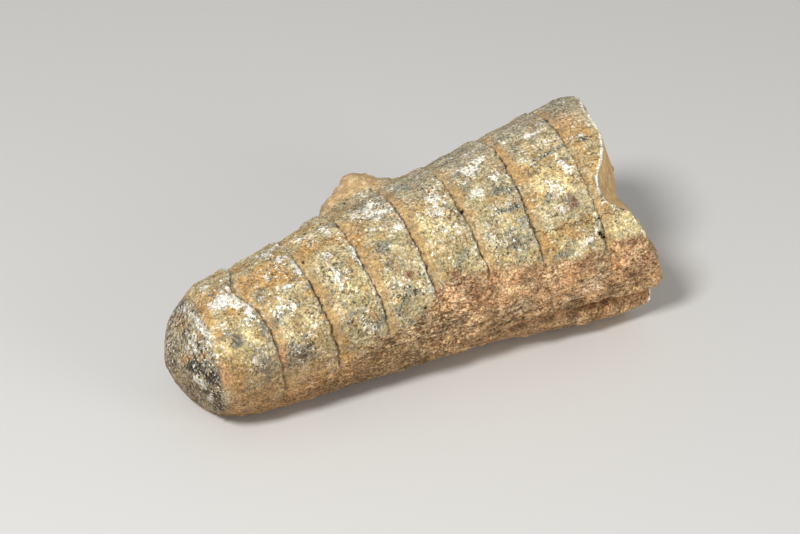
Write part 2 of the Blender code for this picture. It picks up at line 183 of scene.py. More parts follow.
# Regions that are lighter, or darker where the strength is negative, and marks on the stone:
# (run, turn, half-length along, half-width round, strength). The regions' half-widths are in
# degrees, the marks' in millimetres.
REGIONS = (
    (31.0, 84.0, 10.0, 10.0, 0.11), (56.0, 92.0, 9.0, 17.0, 0.12), (39.0, 101.0, 13.0, 12.0, -0.13),
)
MARKS = {
    "chalk": (
        (-0.5, 13, 1.4, 1.2, 2.2), (0.9, 22, 1.0, 0.9, 1.0), (-0.8, -18, 0.6, 1.4, 0.8),
        (1.4, 34, 1.2, 1.4, 0.7), (2.2, 31, 0.7, 1.2, 1.4), (1.2, 4, 0.4, 0.8, 0.8),
        (3.5, -24, 0.4, 2.2, 1.3), (9.6, 0, 1.1, 1.2, 1.3), (8.8, -16, 1.6, 1.8, 1.1),
        (6.6, 10, 0.5, 0.6, 1.2), (6.6, -16, 0.6, 0.6, 0.9), (5.4, 24, 1.4, 0.5, 0.8),
        (8.4, 26, 2.0, 0.6, 0.9), (6.8, 38, 2.0, 1.6, 0.6), (10.8, 14, 0.5, 1.9, 1.4),
        (11.5, -18, 0.4, 3.2, 1.4), (14.4, -14, 1.8, 0.8, 0.9), (15.4, -6, 1.4, 1.4, 0.7),
        (17.4, -3, 0.5, 0.7, 1.1), (14.6, -2, 0.7, 0.7, 1.1), (15.2, 16, 0.8, 1.3, 1.2),
        (15.0, 34, 0.35, 2.2, 1.0), (18.7, 24, 0.5, 2.0, 1.1), (24.4, -10, 2.4, 1.4, 1.1),
        (24.6, 0, 2.2, 1.2, 1.1), (22.6, 12, 1.0, 0.8, 0.8), (25.6, 18, 1.0, 0.8, 0.7),
        (26.6, 52, 0.4, 2.4, 0.8), (31.6, 20, 1.2, 1.1, 1.1), (32.4, 8, 1.4, 1.2, 0.7),
        (33.0, 38, 0.6, 1.2, 0.7), (39.4, 2, 1.8, 1.2, 1.4), (38.6, 20, 1.6, 1.0, 1.1),
        (41.6, 15, 1.2, 1.0, 1.2), (41.4, -3, 1.2, 1.0, 1.2), (42.0, 30, 0.8, 1.2, 0.7),
        (38.6, 42, 1.2, 1.0, 0.6), (41.6, 50, 1.0, 0.8, 0.7), (50.4, -3, 1.4, 0.4, 1.2),
        (47.4, 8, 0.8, 0.6, 0.9), (51.2, 8, 1.2, 0.8, 0.9), (51.2, 28, 0.7, 1.6, 1.5),
        (48.6, 34, 1.6, 1.2, 0.8), (48.4, 50, 0.9, 1.0, 1.0), (51.8, 44, 0.6, 0.8, 0.8),
        (50.6, 72, 0.8, 0.7, 1.0), (55.8, 14, 0.8, 0.6, 0.9), (54.8, 53, 0.6, 0.4, 1.4),
        (23.6, 92, 1.2, 0.3, 0.8), (-4.5, 20, 0.5, 3.2, 1.2), (-4.2, -30, 0.6, 1.6, 1.0),
        (-8.8, 30, 0.5, 0.6, 0.9), (-8.6, 82, 0.7, 0.8, 1.7), (-7.4, 86, 0.6, 0.8, 1.7),
        (-7.3, 40, 0.35, 0.4, 1.6), (52.2, 67, 0.3, 0.3, 1.8), (-6.2, 112, 0.4, 1.4, 1.5),
        (-7.2, 26, 0.9, 0.8, 0.7), (14.0, -70, 1.8, 1.8, 0.9), (38.5, -60, 2.0, 2.2, 0.9),
        (49.6, 106, 0.8, 0.6, 1.3), (51.8, 103, 1.6, 0.9, 0.8), (41.4, 84, 1.8, 0.4, 0.7),
        (49.0, -85, 2.0, 1.8, 0.9), (6.0, -62, 1.5, 2.0, 0.9), (28.0, -108, 1.6, 2.6, 0.8),
    ),
    "slate": (
        (-0.8, 49, 0.7, 0.9, 1.7), (2.0, 76, 1.5, 1.6, 1.3), (3.0, 48, 0.5, 1.4, 0.8),
        (1.6, 34, 1.2, 1.0, 0.5), (6.4, 76, 2.2, 1.7, 1.9), (6.6, 86, 1.4, 1.0, 0.8),
        (5.2, 44, 1.4, 0.9, 0.8), (8.0, 40, 1.2, 0.8, 0.6), (10.7, 12, 0.5, 1.6, 0.8),
        (13.1, 43, 0.6, 0.6, 0.9), (18.6, 30, 0.5, 1.0, 1.2), (15.4, 27, 0.4, 1.6, 0.8),
        (16.6, 64, 2.4, 1.8, 0.8), (18.6, 72, 1.0, 1.2, 0.7), (18.0, -14, 1.0, 1.0, 0.7),
        (24.6, -14, 2.2, 1.4, 0.6), (24.4, 0, 2.4, 1.4, 0.6), (22.0, 28, 1.8, 1.2, 0.9),
        (24.4, 82, 1.8, 1.0, 1.2), (25.6, 64, 1.2, 1.4, 0.6), (23.6, 62, 2.6, 1.6, 0.8),
        (21.6, 72, 1.6, 1.6, 0.7), (31.6, -16, 2.8, 3.0, 0.45), (32.8, -2, 2.0, 1.8, 0.6),
        (21.2, 55, 2.0, 1.6, 0.6), (30.8, 67, 0.7, 0.6, 1.6), (33.4, 26, 1.0, 1.2, 0.5),
        (31.6, 54, 2.6, 1.4, 0.5), (39.2, -16, 2.6, 2.0, 0.5), (39.6, 2, 1.8, 1.4, 0.8),
        (41.0, 24, 1.8, 1.4, 1.0), (39.5, 36, 0.9, 0.5, 1.5), (41.3, 38, 1.7, 0.45, 1.6),
        (37.2, 8, 1.0, 2.0, 0.6), (42.0, 46, 1.2, 0.4, 1.3), (40.6, 50, 1.6, 0.5, 1.1),
        (40.4, 57, 2.4, 1.2, 0.8), (37.2, 52, 1.0, 1.6, 0.7), (50.4, 16, 2.8, 0.35, 1.8),
        (47.4, 19, 0.8, 0.4, 1.3), (47.2, 24, 0.7, 0.4, 1.3), (47.2, 38, 0.5, 0.5, 1.4),
        (46.6, 42, 0.4, 0.4, 1.1), (48.4, -16, 3.0, 1.6, 0.4), (46.2, 74, 1.0, 0.5, 1.0),
        (50.0, 48, 0.9, 1.3, 0.9), (56.2, 17, 0.9, 0.4, 1.2), (57.2, -16, 2.0, 2.4, 0.4),
        (-8.7, 62, 0.9, 0.9, 1.9), (-9.8, 60, 0.7, 0.7, 1.3), (-7.4, 66, 0.9, 0.8, 1.4),
        (-5.8, 74, 1.2, 2.2, 1.1), (-8.0, 106, 0.8, 0.7, 1.8), (-6.9, 100, 0.6, 0.7, 1.7),
        (-8.3, 125, 0.7, 0.8, 1.4), (-4.3, 116, 0.7, 1.6, 1.9), (-5.4, 94, 0.9, 2.0, 1.1),
        (-3.4, -46, 0.9, 1.6, 1.2), (31.4, 99, 2.2, 1.8, 1.0), (40.6, 98, 2.0, 1.6, 1.1),
        (51.2, 100, 2.4, 1.4, 1.0), (13.2, 33, 1.2, 1.2, 0.6), (38.8, 33, 1.6, 1.4, 0.6),
        (26.0, 96, 1.6, 2.4, 0.8), (-7.6, 0, 1.6, 1.8, 0.6), (12.0, -85, 2.4, 2.4, 0.9),
        (45.5, -64, 2.0, 3.2, 0.9), (27.0, -92, 2.2, 2.6, 0.7), (55.0, -62, 2.2, 2.6, 0.8),
        (40.0, -40, 3.0, 2.4, 0.7), (60.0, -32, 2.0, 2.4, 0.4),
    ),
    "ochre": (
        (-1.4, 2, 1.8, 2.6, 1.1), (-2.9, 22, 0.5, 3.0, 1.1), (3.4, 6, 1.4, 2.2, 1.0),
        (0.6, 24, 1.0, 1.0, 0.9), (-2.0, 84, 1.0, 2.6, 1.1), (7.0, 6, 2.8, 3.0, 1.2),
        (8.4, 16, 2.0, 1.4, 1.2), (4.9, -12, 1.2, 2.0, 0.9), (8.0, 104, 2.4, 3.0, 0.8),
        (14.0, 2, 2.0, 1.4, 1.1), (17.6, 6, 1.4, 1.4, 0.9), (20.8, 6, 1.4, 3.4, 1.1),
        (16.0, 100, 3.0, 2.0, 0.8), (28.2, -10, 0.9, 5.0, 0.6), (36.4, -14, 0.9, 4.0, 0.7),
        (45.4, -6, 0.9, 4.0, 0.8), (45.0, 64, 1.2, 1.6, 1.0), (45.2, 22, 1.0, 3.4, 0.8),
        (49.0, 62, 3.2, 1.2, 0.9), (55.6, 4, 1.8, 5.0, 1.2), (55.4, 32, 1.2, 3.0, 1.2),
        (54.4, 52, 0.9, 2.0, 0.9), (-6.4, -20, 0.9, 2.4, 1.0), (-11.0, 36, 1.4, 1.0, 1.3),
        (-9.0, 42, 1.2, 0.9, 1.2), (-5.4, -35, 1.0, 1.4, 1.3), (-5.0, 30, 0.7, 0.8, 1.0),
        (-9.9, 74, 0.9, 0.8, 0.8), (-6.5, 50, 0.8, 1.2, 0.7), (37.0, -80, 3.0, 3.2, 0.8),
        (14.5, -40, 2.2, 2.4, 0.9), (59.0, -60, 2.0, 4.0, 0.9),
    ),
    "cream": (
        (0.6, 52, 1.8, 2.2, 1.0), (-2.8, 50, 0.6, 2.0, 1.0), (8.8, 60, 1.8, 1.6, 0.5),
        (13.4, 38, 1.2, 1.4, 0.6), (15.2, 24, 1.8, 1.2, 0.9), (16.8, 44, 1.6, 2.6, 0.9),
        (41.0, 84, 2.6, 0.7, 1.2), (22.0, 22, 1.6, 1.2, 0.7), (26.0, 38, 0.9, 1.6, 0.9),
        (28.8, 25, 1.4, 1.4, 1.6), (30.4, 31, 2.0, 1.8, 1.4), (32.0, 30, 1.6, 2.0, 0.8),
        (38.0, 26, 1.6, 2.0, 0.7), (33.0, 24, 1.4, 1.0, 0.9), (58.0, 92, 2.6, 2.4, 0.7),
        (40.6, 44, 2.0, 1.2, 0.8), (47.6, 30, 2.0, 2.6, 1.2), (49.6, 36, 1.6, 2.4, 1.2),
        (47.0, 66, 2.0, 1.4, 0.9), (56.4, 70, 2.4, 1.8, 1.4), (33.0, -66, 3.0, 3.0, 0.8),
        (8.0, -40, 2.4, 2.4, 0.8),
    ),
    "moss": (
        (-0.4, 62, 1.8, 1.6, 1.0), (2.2, 84, 1.6, 1.4, 0.8), (9.4, 70, 1.4, 1.8, 0.6),
        (17.0, 54, 2.0, 2.4, 0.7), (24.0, 30, 2.0, 1.6, 0.6), (31.0, 52, 3.2, 1.6, 1.1),
        (37.4, 60, 1.4, 1.2, 0.7), (31.0, -20, 3.0, 2.4, 0.7), (40.0, -20, 3.0, 2.0, 0.6),
    ),
    "rust": (
        (24.5, 51, 0.9, 0.6, 1.3), (30.6, 61, 0.9, 0.5, 1.2), (50.1, 48, 0.8, 1.2, 1.2),
    ),
    "blush": (
        (-3.6, 72, 0.8, 2.6, 1.2), (4.6, 74, 0.5, 2.0, 1.2), (29.6, 75, 2.6, 1.8, 1.0),
        (37.5, 78, 2.4, 1.8, 0.9), (57.8, 94, 3.2, 3.4, 1.0), (47.0, 86, 5.0, 2.0, 0.8),
        (7.6, 108, 2.4, 2.0, 0.8), (41.4, 117, 2.4, 0.9, 0.9), (33.6, 82, 2.2, 1.4, 1.1),
        (34.0, -122, 6.0, 3.0, 0.6),
    ),
}

ROUND_STEPS = 324           # points round every ring
DOME_RINGS = 34
SMALLEST_RING = 0.02        # share of the radius of the dome's first ring
CHAMBER_RINGS = 25          # rings in each chamber
CHAMBER_CROWDING = 0.4      # how far they are drawn together at the sutures
CHIP_RINGS = 22             # rings from the broken edge to the chip's crest
CHIP_CROWDING = 1.2         # above 1 they are closer together at the edge
BOWL_RINGS = 30             # rings from there to the middle of the broken end


def ease(value, start, end):
    """A smooth climb from 0 at start to 1 at end, which may be the smaller of the two."""
    share = np.clip((value - start) / (end - start), 0.0, 1.0)
    return share * share * (3.0 - 2.0 * share)


def hump(value, half_width):
    """A smooth rise to 1 at 0 and back to 0 at half_width on either side."""
    return ease(half_width - np.abs(value), 0.0, half_width)


def turned(angle):
    """An angle brought into -180 to 180 degrees."""
    return (angle + 180.0) % 360.0 - 180.0


def near_turn(turn, middle, half_width):
    """The same rise about a turn."""
    return hump(turned(turn - middle), half_width)


def waves(parts, at):
    """A sum of waves."""
    return sum(height * np.sin(at * rate + phase) for height, rate, phase in parts)


def along(outline, at):
    """Read a list of (place, value) points."""
    places, values = zip(*outline)
    return np.interp(at, places, values)


def rounded(outline, at, reach):
    """The same with its corners rounded over that reach."""
    return sum(along(outline, at + reach * step) for step in (-1.0, -0.5, 0.0, 0.5, 1.0)) / 5.0


def paint(red, green, blue):
    """A colour as a painter reads it off a chart, 0 to 255, in the numbers a shader wants."""
    chart = np.array([red, green, blue]) / 255.0
    linear = np.where(chart <= 0.04045, chart / 12.92, ((chart + 0.055) / 1.055) ** 2.4)
    return tuple(float(value) for value in linear)


def length(label, about, millimetres):
    return FloatProperty(name=label, description=about, default=millimetres * MM, unit="LENGTH",
                         precision=5)


def color(label, about, *chart):
    return FloatVectorProperty(name=label, description=about, subtype="COLOR", size=3, min=0.0,
                               max=1.0, default=paint(*chart))


def amount(label, about, value):
    return FloatProperty(name=label, description=about, default=value)


class CoreForm(bpy.types.PropertyGroup):
    """Sizes of the stone."""
    core_radius: length("Core radius", "Radius of the core at station 0", 10.07)
    taper: amount("Taper", "Growth in radius for each unit of length", 0.0964)
    squash: amount("Squash", "Height of a section over its width", 0.975)
    underside_wear: length("Underside wear", "Depth of the flat worn into the underside", 0.45)
    chamber_step: length("Chamber step", "Swell of each chamber before the next suture", 0.36)
    suture_depth: length("Suture depth", "Depth of the groove in a suture", 0.42)
    dome_height: length("Dome height", "Bulge of the small end past the first suture", 2.5)
    lip_height: length("Lip height", "How far the ledge stands out low on the near flank", 1.5)
    bowl_depth: length("Bowl depth", "Hollow in the middle of the broken end", 2.0)


class SurfaceWear(bpy.types.PropertyGroup):
    """How the surface is weathered."""
    undulation: length("Undulation", "Height of the broad, slow unevenness", 0.34)
    lumps: length("Lumps", "Height of the lumps on the bare chambers", 0.32)
    crust_lumps: length("Crust lumps", "Height of the lumps on the crust", 0.55)
    fibres: length("Fibres", "Height of the lengthwise fibres in the crust", 0.24)
    grain: length("Grain", "Height of the finest grain", 0.16)
    pit_depth: length("Pit depth", "Depth of the scattered pits", 0.30)
    seed: IntProperty(name="Seed", description="Which piece of stone this is", default=7)


class StoneColors(bpy.types.PropertyGroup):
    """Colours of the stone."""
    straw: color("Straw", "Bare chambers", 208, 193, 150)
    tan: color("Tan", "Darker parts of the bare chambers", 182, 152, 102)
    cream: color("Cream", "Yellow-cream patches", 238, 216, 156)
    chalk: color("Chalk", "White flakes and grains", 248, 244, 230)
    slate: color("Slate", "Blue-grey clouds", 132, 136, 126)
    moss: color("Moss", "Greenish, khaki patches", 170, 158, 112)
    coal: color("Coal", "Dark specks", 66, 61, 48)
    ochre: color("Ochre", "Orange dirt", 196, 150, 88)
    rust: color("Rust", "Red-brown and purple-brown spots", 128, 82, 64)
    crust: color("Crust", "Pinkish-brown crust", 208, 166, 119)
    # Painted shade in the hollows of the crust
    crust_hollow_shade: color("Crust shade", "Hollows of the crust", 150, 112, 72)
    crust_pale: color("Crust light", "Pale grains of the crust", 228, 198, 158)
    blush: color("Blush", "Reddish stains in the crust", 214, 163, 118)
    matrix: color("Matrix", "Smooth tan matrix of the knob and the chip", 206, 172, 126)
    # Also the colour of the painted shade in the pits
    seam: color("Seam", "Dark line in the sutures", 58, 42, 24)


class Shade:
    """Further colours, by where they lie."""
    # Bare chambers
    # Painted sheen of the sky along the far side of the crown
    crown_sheen = paint(172, 166, 152)
    band = paint(196, 158, 106)
    # The dome
    dome_dark = paint(144, 130, 102)
    dome_light = paint(190, 176, 144)
    earth_and_shade = paint(182, 136, 84)
    soot = paint(66, 72, 76)
    black = paint(28, 31, 34)
    frost = paint(232, 228, 214)
    # The crust
    # Painted shade in the hollows of the crust towards the small end
    brown_hollow_shade = paint(132, 104, 68)
    brown = paint(186, 156, 108)
    ash = paint(176, 156, 124)
    red_crust = paint(200, 130, 80)
    buff = paint(230, 196, 150)
    fibre = paint(118, 84, 52)
    salt = paint(238, 226, 200)
    # Painted highlight on the ridges and painted shadow in the creases of the crust's folds
    ridge_highlight = paint(232, 202, 160)
    crease_shadow = paint(96, 66, 40)
    # Low down on the stone: red dirt in the groove, painted shade low down, and painted shade in
    # the crevices
    groove = paint(178, 114, 72)
    deep = paint(126, 94, 54)
    low_shade_dark = paint(136, 100, 62)
    low = paint(182, 138, 92)
    crevice = paint(98, 66, 42)
    # Inside the broken end
    mud_dark = paint(186, 152, 108)
    mud = paint(214, 184, 140)
    mud_gray = paint(172, 162, 136)
    mud_cream = paint(232, 212, 168)
    mud_red = paint(190, 136, 88)
    mud_speck = paint(106, 84, 56)
    # The knob and the chip
    khaki = paint(150, 128, 88)
    flake = paint(236, 216, 176)
    speck = paint(96, 78, 52)
    # The matrix's tan, painted lighter as light on the chip, which lies in shade
    chip = paint(226, 190, 134)
    # Dark cracks, and painted shade in holes and pores
    crack = paint(92, 64, 34)
    hole = paint(26, 21, 15)
    pore_shade = paint(96, 74, 44)


class Studio(bpy.types.PropertyGroup):
    """The floor, the lights and the camera."""
    floor_color: color("Floor", "Plain pale floor", 226, 225, 222)
    key_power: amount("Key", "Strength of the main soft light", 1.0)
    fill_power: amount("Fill", "Strength of the light from all round", 1.0)
    lens: FloatProperty(name="Lens", description="Focal length in millimetres", default=105.0)


# --- Shape of the stone -----------------------------------------------------------------------


class Shape:
    """The stone's form as functions of station and turn, in millimetres and degrees."""

    def __init__(self, form):
        self.form = form
        self.radius0 = form.core_radius / MM
        self.wear = form.underside_wear / MM

    def radius(self, station):
        return self.radius0 + self.form.taper * station

    def suture(self, number, turn):
        station, climb, low_turn, broken_back = SUTURES[number]
        bow = climb * np.sin(np.radians(turn - low_turn)) ** 2
        return station + bow - broken_back * near_turn(
            turn, BROKEN_BACK_TURN, BROKEN_BACK_HALF_WIDTH)

    def rim(self, turn):
        return rounded(RIM, turn, 2.5) + waves(RIM_WAVES, np.radians(turn))

    def crust_reach(self, station, turn):
        """How far inside the crust a place lies, in millimetres; negative on bare chambers."""
        near = turn - rounded(CRUST_EDGE, station, 1.0)
        far = FAR_CRUST_EDGE - turn - waves(FAR_CRUST_WAVES, station)
        return np.radians(np.maximum(near, far)) * self.radius(station)

    def seam(self, station, turn):
        """Distance past the nearest suture, negative before it, and that suture's number."""
        gaps = np.stack([station - self.suture(number, turn) for number in range(len(SUTURES))])
        nearest = np.argmin(np.abs(gaps), axis=0)
        return np.take_along_axis(gaps, nearest[None], axis=0)[0], nearest

    def chambers(self, station, turn):
        """Each chamber swells towards the large end, then drops into the next suture."""
        step = self.form.chamber_step / MM
        height = np.zeros(turn.shape)
        starts = [self.suture(number, turn) for number in range(len(SUTURES))]
        ends = starts[1:] + [self.rim(turn) + LAST_CHAMBER_LEFT]
        for start, end in zip(starts, ends):
            share = np.clip((station - start) / (end - start), 0.0, 1.0)
            inside = (station >= start) & (station < end)
            height = np.where(inside, step * (share ** SWELL_ROUNDNESS - SWELL_LEVEL), height)
        return height

    def dome_wear(self, station, turn):
        edge = DOME_EDGE_WEAR * near_turn(turn, DOME_EDGE_TURN, DOME_EDGE_HALF_WIDTH)
        foot = DOME_FOOT_WEAR * near_turn(turn, DOME_FOOT_TURN, DOME_FOOT_HALF_WIDTH)
        return edge * ease(station, *DOME_EDGE_GROWTH) + foot * ease(station, *DOME_FOOT_GROWTH)

    def knob(self, station, turn):
        past = turned(turn - KNOB_TURN)
        spread = np.where(past > 0.0, KNOB_SPREAD_UP, KNOB_SPREAD_DOWN)
        share = np.exp(-np.abs(past / spread) ** KNOB_SQUARENESS)
        return rounded(KNOB_CREST, station, 0.3) * share * KNOB_SIZE

    def past_groove(self, station, turn):
        """Degrees past the groove under the crust's edge, low on the near flank."""
        return turn - GROOVE_TURN - GROOVE_SLOPE * (station - GROOVE_STATION)

    def overhang(self, station, turn):
        """1 in that groove, towards the large end."""
        past = self.past_groove(station, turn)
        return np.exp(-(past / GROOVE_HALF_TURN) ** 2) * ease(station, *GROOVE_GROWTH)

    def ledge(self, station, turn):
        """The groove, the brow over it and the lip under it."""
        past = self.past_groove(station, turn)
        brow = np.exp(-((past - BROW_TURN) / BROW_HALF_TURN) ** 2) * ease(station, *BROW_GROWTH)
        lip = ease(past, *LIP_SLOPE) * ease(turn, *LIP_FOOT) * ease(station, *LIP_GROWTH)
        lip = lip * (1.0 - LIP_FALL * ease(station, *LIP_FALLS))
        lip = self.form.lip_height / MM * lip
        return lip + BROW_SWELL * brow - GROOVE_DEPTH * self.overhang(station, turn)

    def worn_rim(self, station, turn):
        """The broken edge is rounded off over the crown and down the far flank."""
        rim = self.rim(turn)
        near_edge = ease(station, rim - RIM_WEAR_REACH, rim + 0.2)
        return RIM_WEAR * near_edge ** 2 * near_turn(turn, RIM_WEAR_TURN, RIM_WEAR_HALF_WIDTH)

    def relief(self, station, turn):
        """How far the stone stands out from the plain cone."""
        cover = ease(self.crust_reach(station, turn), -0.5, 1.0)
        knob = self.knob(station, turn)
        hidden = np.maximum(cover, ease(knob, 0.3, 1.2))
        height = self.chambers(station, turn) * (1.0 - SWELL_HIDDEN * hidden)
        height = height - SUNK_CRUST * cover * (1.0 - ease(station, *SUNK_CRUST_ENDS))
        height = height + self.ledge(station, turn) * cover
        height = height + knob - self.worn_rim(station, turn)
        return height - self.dome_wear(station, turn)

    def points(self, station, turn, share=1.0, axis_station=None):
        """Points on the stone, and how far each lies from the core's middle line."""
        place = station if axis_station is None else axis_station
        reach = share * (self.radius(place) + self.relief(place, turn))
        angle = np.radians(turn)
        x = station - MIDDLE_STATION
        y = -reach * np.sin(angle)
        z = self.form.squash * (self.radius(place) + reach * np.cos(angle)) - self.wear
        return np.stack([x, y, z], axis=-1), reach

    def dome_ring(self, share, turn):
        edge = self.suture(0, turn)
        station = edge - self.form.dome_height / MM * (1.0 - share ** DOME_FLATNESS)
        points, reach = self.points(station, turn, share, edge)
        return points, reach, edge - (1.0 - share) * self.radius(SUTURES[0][0])

    def crest_share(self, turn):
        """How far out the crest of the chipped side lies, as a share of the radius."""
        return np.minimum(rounded(CREST, turn, 3.0) / self.radius(CREST_STATION), 1.0)

    def end_ring(self, share, turn):
        """A ring of the broken end: a shallow bowl inside the crest, the chip outside it."""
        rim = self.rim(turn)
        crest = self.crest_share(turn)
        depth = self.form.bowl_depth / MM

        def bowl(at):
            return END_STATION - depth * (1.0 - at ** 2) + (rim - END_STATION) * at ** 4

        chip = np.clip((share - crest) / np.maximum(1.0 - crest, 0.02), 0.0, 1.0)
        station = np.where(share > crest, bowl(crest) + (rim - bowl(crest)) * chip, bowl(share))
        points, reach = self.points(rim, turn, share)
        points[..., 0] = station - MIDDLE_STATION
        return points, reach, rim + (1.0 - share) * self.radius(END_STATION)


def crowded(steps, crowding):
    """Shares from 0 up to 1, left out, drawn together at both ends."""
    even = np.arange(steps) / steps
    return even - crowding * np.sin(math.tau * even) / math.tau


def core_rings(shape):
    """Every ring of the stone, from the dome's middle round to the middle of the broken end."""
    turn = np.arange(ROUND_STEPS) * 360.0 / ROUND_STEPS - 180.0
    rings = [shape.dome_ring(share, turn)
             for share in np.linspace(SMALLEST_RING, 1.0, DOME_RINGS, endpoint=False)]
    rim = shape.rim(turn)
    starts = [shape.suture(number, turn) for number in range(len(SUTURES))] + [rim]
    stations = [start + (end - start) * share for start, end in zip(starts, starts[1:])
                for share in crowded(CHAMBER_RINGS, CHAMBER_CROWDING)]
    rings += [(*shape.points(station, turn), station) for station in [*stations, rim]]
    crest = np.minimum(shape.crest_share(turn), HIGHEST_CREST)
    shares = [1.0 + (crest - 1.0) * (step / CHIP_RINGS) ** CHIP_CROWDING
              for step in range(1, CHIP_RINGS + 1)]
    shares += [crest * (1.0 - step / BOWL_RINGS) for step in range(1, BOWL_RINGS)]
    return turn, rings + [shape.end_ring(share, turn) for share in shares]


def mark_field(marks, run, turn, reach):
    """How strongly a kind of mark covers each point."""
    field = np.zeros(run.shape)
    for at_run, at_turn, half_length, half_width, strength in marks:
        around = np.radians(turned(turn - at_turn)) * reach
        away = ((run - at_run) / half_length) ** 2 + (around / half_width) ** 2
        field = np.maximum(field, strength * np.exp(-away))
    return field


def hole_field(run, turn, reach):
    depth = np.zeros(run.shape)
    for at_run, at_turn, radius, deep in HOLES:
        around = np.radians(turned(turn - at_turn)) * reach
        away = np.hypot(run - at_run, around) / radius
        depth = np.maximum(depth, deep * ease(1.3 - away, 0.0, 1.0))
    return depth


def crack_gap(run, turn, reach):
    """Distance round the stone from the crack's line, in millimetres."""
    line = along(CRACK, run) + waves(CRACK_WAVES, run)
    return np.clip(np.radians(turn - line) * reach, -5.0, 5.0)


def shading(run, turn):
    """Painted shade on the lower near flank towards the small end, painted light on the crown, and
    lighter and darker regions, as a level about 1.
    """
    flank_shade = 0.15 * near_turn(turn, 80.0, 26.0) + 0.13 * ease(turn, 92.0, 120.0)
    crown_light = 0.12 * near_turn(turn, -8.0, 38.0)
    level = 1.0 - flank_shade * ease(run, 30.0, 22.0) + crown_light * ease(run, 4.0, 14.0)
    for at_run, at_turn, half_length, half_width, strength in REGIONS:
        across = strength * near_turn(turn, at_turn, half_width)
        level = level + across * hump(run - at_run, half_length)
    return level


def surface_fields(shape, run, turn, reach):
    """What the weathering and the colours follow, by name, for every point."""
    rim = shape.rim(turn)
    station = np.clip(run, shape.suture(0, turn), rim)
    seam, nearest = shape.seam(run, turn)
    opened = np.stack([along(crack, turn) for crack in SUTURE_CRACKS])
    dome = ease(shape.suture(0, turn) - run, -0.1, 0.5)
    crust = shape.crust_reach(station, turn)
    low = 42.0 + 1.6 * np.clip(run, 0.0, 34.0)
    crest = shape.radius(CREST_STATION) * shape.crest_share(turn)
    start, end = CRACK[0][0], CRACK[-1][0]
    fields = {
        "run": run,
        "seam": seam,
        "open_seam": np.take_along_axis(opened, nearest[None], axis=0)[0],
        "crust": crust * (1.0 - dome) - 2.0 * dome,
        # Towards the underside on either flank, where shade is painted
        "under": np.maximum(ease(turn, low, 126.0), ease(turn, -90.0, -130.0)),
        "overhang": shape.overhang(station, turn),
        "dome": dome,
        "broken": ease(run - rim, 0.0, 0.4),
        "rim_gap": np.abs(run - rim),
        "chip": ease(run - rim, 0.1, 0.5) * ease(reach - crest, -1.4, 0.8),
        "matrix": shape.knob(station, turn) / 3.0,
        "hole": hole_field(run, turn, reach),
        "crack_gap": crack_gap(run, turn, reach),
        "cracked": ease(run, start - 0.3, start) * ease(run, end + 0.3, end),
        "rim_white": along(RIM_WHITE, turn),
        "flank": ease(turn, 5.0, 62.0),
        # Where the painted sheen of the sky lies, along the far side of the crown
        "far_crown": near_turn(turn, -20.0, 40.0) * ease(run, 16.0, 30.0),
        # The painted light and shade of shading(), as a level about 1
        "pale": shading(run, turn),
    }
    for name, marks in MARKS.items():
        fields[name] = mark_field(marks, run, turn, reach)
    return fields


def core_mesh(form):
    """The stone's mesh: rings of points, closed by a fan over each end."""
    shape = Shape(form)
    turn_row, rings = core_rings(shape)
    points, reach, run = (np.stack(part) for part in zip(*rings))
    turn = np.broadcast_to(turn_row, run.shape)
    here = np.arange(run.size).reshape(run.shape)
    after = np.roll(here, -1, axis=1)
    quads = np.stack([here[:-1], after[:-1], after[1:], here[1:]], axis=-1).reshape(-1, 4)
    small_fan = [(int(b), int(a), run.size) for a, b in zip(here[0], after[0])]
    large_fan = [(int(a), int(b), run.size + 1) for a, b in zip(here[-1], after[-1])]
    middles = np.stack([points[0].mean(axis=0), points[-1].mean(axis=0)])
    vertices = np.concatenate([points.reshape(-1, 3), middles]) * MM
    mesh = bpy.data.meshes.new("orthoceras_stone")
    mesh.from_pydata(vertices.tolist(), [], quads.tolist() + small_fan + large_fan)
    for name, field in surface_fields(shape, run, turn, reach).items():
        values = np.concatenate([field.reshape(-1), [field[0].mean(), field[-1].mean()]])
        layer = mesh.attributes.new(name, "FLOAT", "POINT")
        layer.data.foreach_set("value", values.astype(np.float32))
    mesh.validate()
    mesh.update()
    return mesh


# --- Node helpers -----------------------------------------------------------------------------

NODES_IN_A_ROW = 12
NODE_STEP = (200, -220)


def given_by_socket(value):
    return isinstance(value, bpy.types.NodeSocket)


